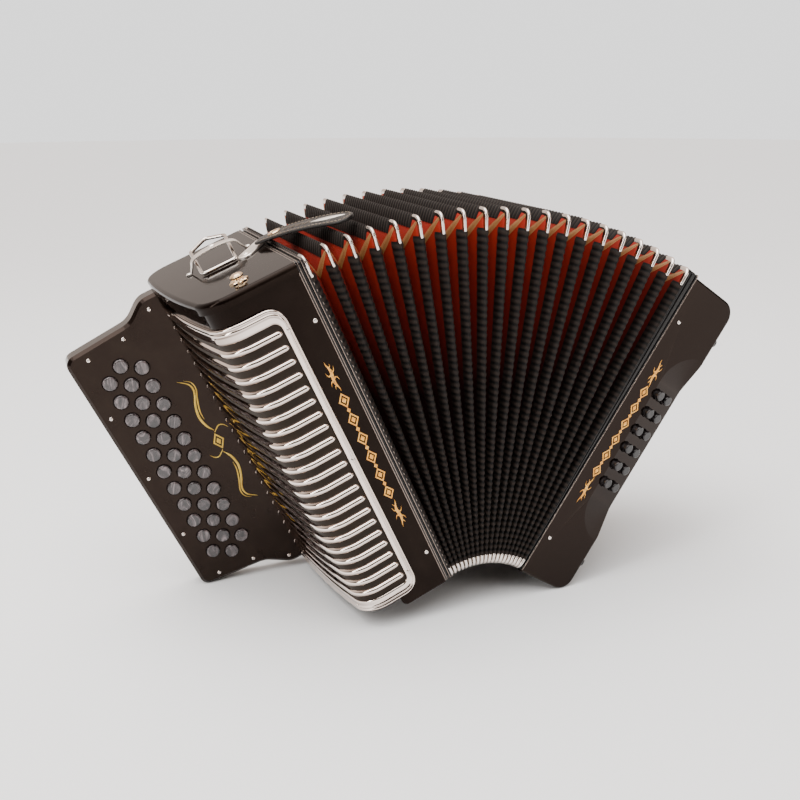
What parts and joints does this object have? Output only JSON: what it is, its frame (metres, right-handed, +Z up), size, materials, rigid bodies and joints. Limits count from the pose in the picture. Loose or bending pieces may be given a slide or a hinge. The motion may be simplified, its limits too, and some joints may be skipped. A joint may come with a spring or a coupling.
{
  "type": "button accordion",
  "caption": "Diatonic button accordion, bellows fanned open, with a treble fingerboard and grille, a bass casing with buttons, and straps.",
  "frame": {"origin": "middle of the footprint, on the surface that the instrument stands on", "axes": "+Z up; +X from the treble half to the bass half; +Y from the grille side to the player's side"},
  "size_m": [0.5593, 0.2016, 0.3461],
  "materials": {
    "lacquer": "black gloss lacquer over wood",
    "grille_metal": "polished",
    "bellows_card": "cloth over folded card",
    "fitting_metal": "polished",
    "strap_leather": "smooth, stitched",
    "pearl_buttons": "dark pearl"
  },
  "bodies": {
    "treble_half": {"treble_casing": "lacquer", "fingerboard": "lacquer", "treble_grille": "grille_metal", "treble_bellows_frame": "bellows_card", "treble_fittings": "fitting_metal"},
    "bellows_near_treble": {"bellows_section_1": "bellows_card"},
    "bellows_near_bass": {"bellows_section_2": "bellows_card"},
    "bass_half": {"bass_casing": "lacquer", "bass_bellows_frame": "bellows_card", "bass_fittings": "fitting_metal", "hand_strap": "strap_leather"},
    "shoulder_strap_ring": {"shoulder_strap_ring": "fitting_metal"},
    "bellows_strap": {"bellows_strap": "strap_leather"},
    "air_button": {"air_button": "pearl_buttons"},
    "treble_button_inner_01": {"treble_button_inner_01": "pearl_buttons"},
    "treble_button_inner_02": {"treble_button_inner_02": "pearl_buttons"},
    "treble_button_inner_03": {"treble_button_inner_03": "pearl_buttons"},
    "treble_button_inner_04": {"treble_button_inner_04": "pearl_buttons"},
    "treble_button_inner_05": {"treble_button_inner_05": "pearl_buttons"},
    "treble_button_inner_06": {"treble_button_inner_06": "pearl_buttons"},
    "treble_button_inner_07": {"treble_button_inner_07": "pearl_buttons"},
    "treble_button_inner_08": {"treble_button_inner_08": "pearl_buttons"},
    "treble_button_inner_09": {"treble_button_inner_09": "pearl_buttons"},
    "treble_button_inner_10": {"treble_button_inner_10": "pearl_buttons"},
    "treble_button_inner_11": {"treble_button_inner_11": "pearl_buttons"},
    "treble_button_middle_01": {"treble_button_middle_01": "pearl_buttons"},
    "treble_button_middle_02": {"treble_button_middle_02": "pearl_buttons"},
    "treble_button_middle_03": {"treble_button_middle_03": "pearl_buttons"},
    "treble_button_middle_04": {"treble_button_middle_04": "pearl_buttons"},
    "treble_button_middle_05": {"treble_button_middle_05": "pearl_buttons"},
    "treble_button_middle_06": {"treble_button_middle_06": "pearl_buttons"},
    "treble_button_middle_07": {"treble_button_middle_07": "pearl_buttons"},
    "treble_button_middle_08": {"treble_button_middle_08": "pearl_buttons"},
    "treble_button_middle_09": {"treble_button_middle_09": "pearl_buttons"},
    "treble_button_middle_10": {"treble_button_middle_10": "pearl_buttons"},
    "treble_button_middle_11": {"treble_button_middle_11": "pearl_buttons"},
    "treble_button_middle_12": {"treble_button_middle_12": "pearl_buttons"},
    "treble_button_outer_01": {"treble_button_outer_01": "pearl_buttons"},
    "treble_button_outer_02": {"treble_button_outer_02": "pearl_buttons"},
    "treble_button_outer_03": {"treble_button_outer_03": "pearl_buttons"},
    "treble_button_outer_04": {"treble_button_outer_04": "pearl_buttons"},
    "treble_button_outer_05": {"treble_button_outer_05": "pearl_buttons"},
    "treble_button_outer_06": {"treble_button_outer_06": "pearl_buttons"},
    "treble_button_outer_07": {"treble_button_outer_07": "pearl_buttons"},
    "treble_button_outer_08": {"treble_button_outer_08": "pearl_buttons"},
    "treble_button_outer_09": {"treble_button_outer_09": "pearl_buttons"},
    "treble_button_outer_10": {"treble_button_outer_10": "pearl_buttons"},
    "treble_button_outer_11": {"treble_button_outer_11": "pearl_buttons"},
    "bass_button_inner_1": {"bass_button_inner_1": "pearl_buttons"},
    "bass_button_inner_2": {"bass_button_inner_2": "pearl_buttons"},
    "bass_button_inner_3": {"bass_button_inner_3": "pearl_buttons"},
    "bass_button_inner_4": {"bass_button_inner_4": "pearl_buttons"},
    "bass_button_inner_5": {"bass_button_inner_5": "pearl_buttons"},
    "bass_button_inner_6": {"bass_button_inner_6": "pearl_buttons"},
    "bass_button_outer_1": {"bass_button_outer_1": "pearl_buttons"},
    "bass_button_outer_2": {"bass_button_outer_2": "pearl_buttons"},
    "bass_button_outer_3": {"bass_button_outer_3": "pearl_buttons"},
    "bass_button_outer_4": {"bass_button_outer_4": "pearl_buttons"},
    "bass_button_outer_5": {"bass_button_outer_5": "pearl_buttons"},
    "bass_button_outer_6": {"bass_button_outer_6": "pearl_buttons"}
  },
  "joints": [
    {"name": "bellows_fold_1", "type": "hinge", "parent": "treble_half", "child": "bellows_near_treble", "pos_m": [0.00922, 0, 0.03979], "axis": [0, -1, 0], "range_deg": [-2, 18.67], "deforming": ["bellows_section_1"]},
    {"name": "bellows_fold_2", "type": "hinge", "parent": "bellows_near_treble", "child": "bellows_near_bass", "pos_m": [0.03208, 0, 0.04105], "axis": [0, -1, 0], "range_deg": [-2, 18.67], "deforming": ["bellows_section_2"]},
    {"name": "bellows_fold_3", "type": "hinge", "parent": "bellows_near_bass", "child": "bass_half", "pos_m": [0.05414, 0, 0.03493], "axis": [0, -1, 0], "range_deg": [-2, 18.67]},
    {"name": "air_button_press", "type": "slide", "parent": "bass_half", "child": "air_button", "axis": [0, -1, 0], "range_m": [0, 0.0028], "stiffness_N_per_m": 150, "springref_m": -0.004},
    {"name": "ring_tilt", "type": "hinge", "parent": "treble_half", "child": "shoulder_strap_ring", "pos_m": [-0.15938, 0.017, 0.30843], "axis": [-0.9281, 0, -0.3723], "range_deg": [0, 17]},
    {"name": "strap_lift", "type": "hinge", "parent": "treble_half", "child": "bellows_strap", "pos_m": [-0.12205, 0.00387, 0.32009], "axis": [-0.7003, -0.6562, -0.281], "range_deg": [0, 100]},
    {"name": "bass_button_inner_1_press", "type": "slide", "parent": "bass_half", "child": "bass_button_inner_1", "axis": [-0.2156, 0.9654, 0.1465], "range_m": [0, 0.004], "stiffness_N_per_m": 120, "springref_m": -0.004},
    {"name": "bass_button_inner_2_press", "type": "slide", "parent": "bass_half", "child": "bass_button_inner_2", "axis": [-0.2156, 0.9654, 0.1465], "range_m": [0, 0.004], "stiffness_N_per_m": 120, "springref_m": -0.004},
    {"name": "bass_button_inner_3_press", "type": "slide", "parent": "bass_half", "child": "bass_button_inner_3", "axis": [-0.2156, 0.9654, 0.1465], "range_m": [0, 0.004], "stiffness_N_per_m": 120, "springref_m": -0.004},
    {"name": "bass_button_inner_4_press", "type": "slide", "parent": "bass_half", "child": "bass_button_inner_4", "axis": [-0.2156, 0.9654, 0.1465], "range_m": [0, 0.004], "stiffness_N_per_m": 120, "springref_m": -0.004},
    {"name": "bass_button_inner_5_press", "type": "slide", "parent": "bass_half", "child": "bass_button_inner_5", "axis": [-0.2156, 0.9654, 0.1465], "range_m": [0, 0.004], "stiffness_N_per_m": 120, "springref_m": -0.004},
    {"name": "bass_button_inner_6_press", "type": "slide", "parent": "bass_half", "child": "bass_button_inner_6", "axis": [-0.2156, 0.9654, 0.1465], "range_m": [0, 0.004], "stiffness_N_per_m": 120, "springref_m": -0.004},
    {"name": "bass_button_outer_1_press", "type": "slide", "parent": "bass_half", "child": "bass_button_outer_1", "axis": [-0.2156, 0.9654, 0.1465], "range_m": [0, 0.004], "stiffness_N_per_m": 120, "springref_m": -0.004},
    {"name": "bass_button_outer_2_press", "type": "slide", "parent": "bass_half", "child": "bass_button_outer_2", "axis": [-0.2156, 0.9654, 0.1465], "range_m": [0, 0.004], "stiffness_N_per_m": 120, "springref_m": -0.004},
    {"name": "bass_button_outer_3_press", "type": "slide", "parent": "bass_half", "child": "bass_button_outer_3", "axis": [-0.2156, 0.9654, 0.1465], "range_m": [0, 0.004], "stiffness_N_per_m": 120, "springref_m": -0.004},
    {"name": "bass_button_outer_4_press", "type": "slide", "parent": "bass_half", "child": "bass_button_outer_4", "axis": [-0.2156, 0.9654, 0.1465], "range_m": [0, 0.004], "stiffness_N_per_m": 120, "springref_m": -0.004},
    {"name": "bass_button_outer_5_press", "type": "slide", "parent": "bass_half", "child": "bass_button_outer_5", "axis": [-0.2156, 0.9654, 0.1465], "range_m": [0, 0.004], "stiffness_N_per_m": 120, "springref_m": -0.004},
    {"name": "bass_button_outer_6_press", "type": "slide", "parent": "bass_half", "child": "bass_button_outer_6", "axis": [-0.2156, 0.9654, 0.1465], "range_m": [0, 0.004], "stiffness_N_per_m": 120, "springref_m": -0.004},
    {"name": "treble_button_inner_01_press", "type": "slide", "parent": "treble_half", "child": "treble_button_inner_01", "axis": [0, 1, 0], "range_m": [0, 0.0036], "stiffness_N_per_m": 120, "springref_m": -0.004},
    {"name": "treble_button_inner_02_press", "type": "slide", "parent": "treble_half", "child": "treble_button_inner_02", "axis": [0, 1, 0], "range_m": [0, 0.0036], "stiffness_N_per_m": 120, "springref_m": -0.004},
    {"name": "treble_button_inner_03_press", "type": "slide", "parent": "treble_half", "child": "treble_button_inner_03", "axis": [0, 1, 0], "range_m": [0, 0.0036], "stiffness_N_per_m": 120, "springref_m": -0.004},
    {"name": "treble_button_inner_04_press", "type": "slide", "parent": "treble_half", "child": "treble_button_inner_04", "axis": [0, 1, 0], "range_m": [0, 0.0036], "stiffness_N_per_m": 120, "springref_m": -0.004},
    {"name": "treble_button_inner_05_press", "type": "slide", "parent": "treble_half", "child": "treble_button_inner_05", "axis": [0, 1, 0], "range_m": [0, 0.0036], "stiffness_N_per_m": 120, "springref_m": -0.004},
    {"name": "treble_button_inner_06_press", "type": "slide", "parent": "treble_half", "child": "treble_button_inner_06", "axis": [0, 1, 0], "range_m": [0, 0.0036], "stiffness_N_per_m": 120, "springref_m": -0.004},
    {"name": "treble_button_inner_07_press", "type": "slide", "parent": "treble_half", "child": "treble_button_inner_07", "axis": [0, 1, 0], "range_m": [0, 0.0036], "stiffness_N_per_m": 120, "springref_m": -0.004},
    {"name": "treble_button_inner_08_press", "type": "slide", "parent": "treble_half", "child": "treble_button_inner_08", "axis": [0, 1, 0], "range_m": [0, 0.0036], "stiffness_N_per_m": 120, "springref_m": -0.004},
    {"name": "treble_button_inner_09_press", "type": "slide", "parent": "treble_half", "child": "treble_button_inner_09", "axis": [0, 1, 0], "range_m": [0, 0.0036], "stiffness_N_per_m": 120, "springref_m": -0.004},
    {"name": "treble_button_inner_10_press", "type": "slide", "parent": "treble_half", "child": "treble_button_inner_10", "axis": [0, 1, 0], "range_m": [0, 0.0036], "stiffness_N_per_m": 120, "springref_m": -0.004},
    {"name": "treble_button_inner_11_press", "type": "slide", "parent": "treble_half", "child": "treble_button_inner_11", "axis": [0, 1, 0], "range_m": [0, 0.0036], "stiffness_N_per_m": 120, "springref_m": -0.004},
    {"name": "treble_button_middle_01_press", "type": "slide", "parent": "treble_half", "child": "treble_button_middle_01", "axis": [0, 1, 0], "range_m": [0, 0.0036], "stiffness_N_per_m": 120, "springref_m": -0.004},
    {"name": "treble_button_middle_02_press", "type": "slide", "parent": "treble_half", "child": "treble_button_middle_02", "axis": [0, 1, 0], "range_m": [0, 0.0036], "stiffness_N_per_m": 120, "springref_m": -0.004},
    {"name": "treble_button_middle_03_press", "type": "slide", "parent": "treble_half", "child": "treble_button_middle_03", "axis": [0, 1, 0], "range_m": [0, 0.0036], "stiffness_N_per_m": 120, "springref_m": -0.004},
    {"name": "treble_button_middle_04_press", "type": "slide", "parent": "treble_half", "child": "treble_button_middle_04", "axis": [0, 1, 0], "range_m": [0, 0.0036], "stiffness_N_per_m": 120, "springref_m": -0.004},
    {"name": "treble_button_middle_05_press", "type": "slide", "parent": "treble_half", "child": "treble_button_middle_05", "axis": [0, 1, 0], "range_m": [0, 0.0036], "stiffness_N_per_m": 120, "springref_m": -0.004},
    {"name": "treble_button_middle_06_press", "type": "slide", "parent": "treble_half", "child": "treble_button_middle_06", "axis": [0, 1, 0], "range_m": [0, 0.0036], "stiffness_N_per_m": 120, "springref_m": -0.004},
    {"name": "treble_button_middle_07_press", "type": "slide", "parent": "treble_half", "child": "treble_button_middle_07", "axis": [0, 1, 0], "range_m": [0, 0.0036], "stiffness_N_per_m": 120, "springref_m": -0.004},
    {"name": "treble_button_middle_08_press", "type": "slide", "parent": "treble_half", "child": "treble_button_middle_08", "axis": [0, 1, 0], "range_m": [0, 0.0036], "stiffness_N_per_m": 120, "springref_m": -0.004},
    {"name": "treble_button_middle_09_press", "type": "slide", "parent": "treble_half", "child": "treble_button_middle_09", "axis": [0, 1, 0], "range_m": [0, 0.0036], "stiffness_N_per_m": 120, "springref_m": -0.004},
    {"name": "treble_button_middle_10_press", "type": "slide", "parent": "treble_half", "child": "treble_button_middle_10", "axis": [0, 1, 0], "range_m": [0, 0.0036], "stiffness_N_per_m": 120, "springref_m": -0.004},
    {"name": "treble_button_middle_11_press", "type": "slide", "parent": "treble_half", "child": "treble_button_middle_11", "axis": [0, 1, 0], "range_m": [0, 0.0036], "stiffness_N_per_m": 120, "springref_m": -0.004},
    {"name": "treble_button_middle_12_press", "type": "slide", "parent": "treble_half", "child": "treble_button_middle_12", "axis": [0, 1, 0], "range_m": [0, 0.0036], "stiffness_N_per_m": 120, "springref_m": -0.004},
    {"name": "treble_button_outer_01_press", "type": "slide", "parent": "treble_half", "child": "treble_button_outer_01", "axis": [0, 1, 0], "range_m": [0, 0.0036], "stiffness_N_per_m": 120, "springref_m": -0.004},
    {"name": "treble_button_outer_02_press", "type": "slide", "parent": "treble_half", "child": "treble_button_outer_02", "axis": [0, 1, 0], "range_m": [0, 0.0036], "stiffness_N_per_m": 120, "springref_m": -0.004},
    {"name": "treble_button_outer_03_press", "type": "slide", "parent": "treble_half", "child": "treble_button_outer_03", "axis": [0, 1, 0], "range_m": [0, 0.0036], "stiffness_N_per_m": 120, "springref_m": -0.004},
    {"name": "treble_button_outer_04_press", "type": "slide", "parent": "treble_half", "child": "treble_button_outer_04", "axis": [0, 1, 0], "range_m": [0, 0.0036], "stiffness_N_per_m": 120, "springref_m": -0.004},
    {"name": "treble_button_outer_05_press", "type": "slide", "parent": "treble_half", "child": "treble_button_outer_05", "axis": [0, 1, 0], "range_m": [0, 0.0036], "stiffness_N_per_m": 120, "springref_m": -0.004},
    {"name": "treble_button_outer_06_press", "type": "slide", "parent": "treble_half", "child": "treble_button_outer_06", "axis": [0, 1, 0], "range_m": [0, 0.0036], "stiffness_N_per_m": 120, "springref_m": -0.004},
    {"name": "treble_button_outer_07_press", "type": "slide", "parent": "treble_half", "child": "treble_button_outer_07", "axis": [0, 1, 0], "range_m": [0, 0.0036], "stiffness_N_per_m": 120, "springref_m": -0.004},
    {"name": "treble_button_outer_08_press", "type": "slide", "parent": "treble_half", "child": "treble_button_outer_08", "axis": [0, 1, 0], "range_m": [0, 0.0036], "stiffness_N_per_m": 120, "springref_m": -0.004},
    {"name": "treble_button_outer_09_press", "type": "slide", "parent": "treble_half", "child": "treble_button_outer_09", "axis": [0, 1, 0], "range_m": [0, 0.0036], "stiffness_N_per_m": 120, "springref_m": -0.004},
    {"name": "treble_button_outer_10_press", "type": "slide", "parent": "treble_half", "child": "treble_button_outer_10", "axis": [0, 1, 0], "range_m": [0, 0.0036], "stiffness_N_per_m": 120, "springref_m": -0.004},
    {"name": "treble_button_outer_11_press", "type": "slide", "parent": "treble_half", "child": "treble_button_outer_11", "axis": [0, 1, 0], "range_m": [0, 0.0036], "stiffness_N_per_m": 120, "springref_m": -0.004}
  ],
  "couplings": [
    {"joint": "bellows_fold_1", "follows": "bellows_fold_3", "ratio": 1},
    {"joint": "bellows_fold_2", "follows": "bellows_fold_3", "ratio": 1}
  ]
}
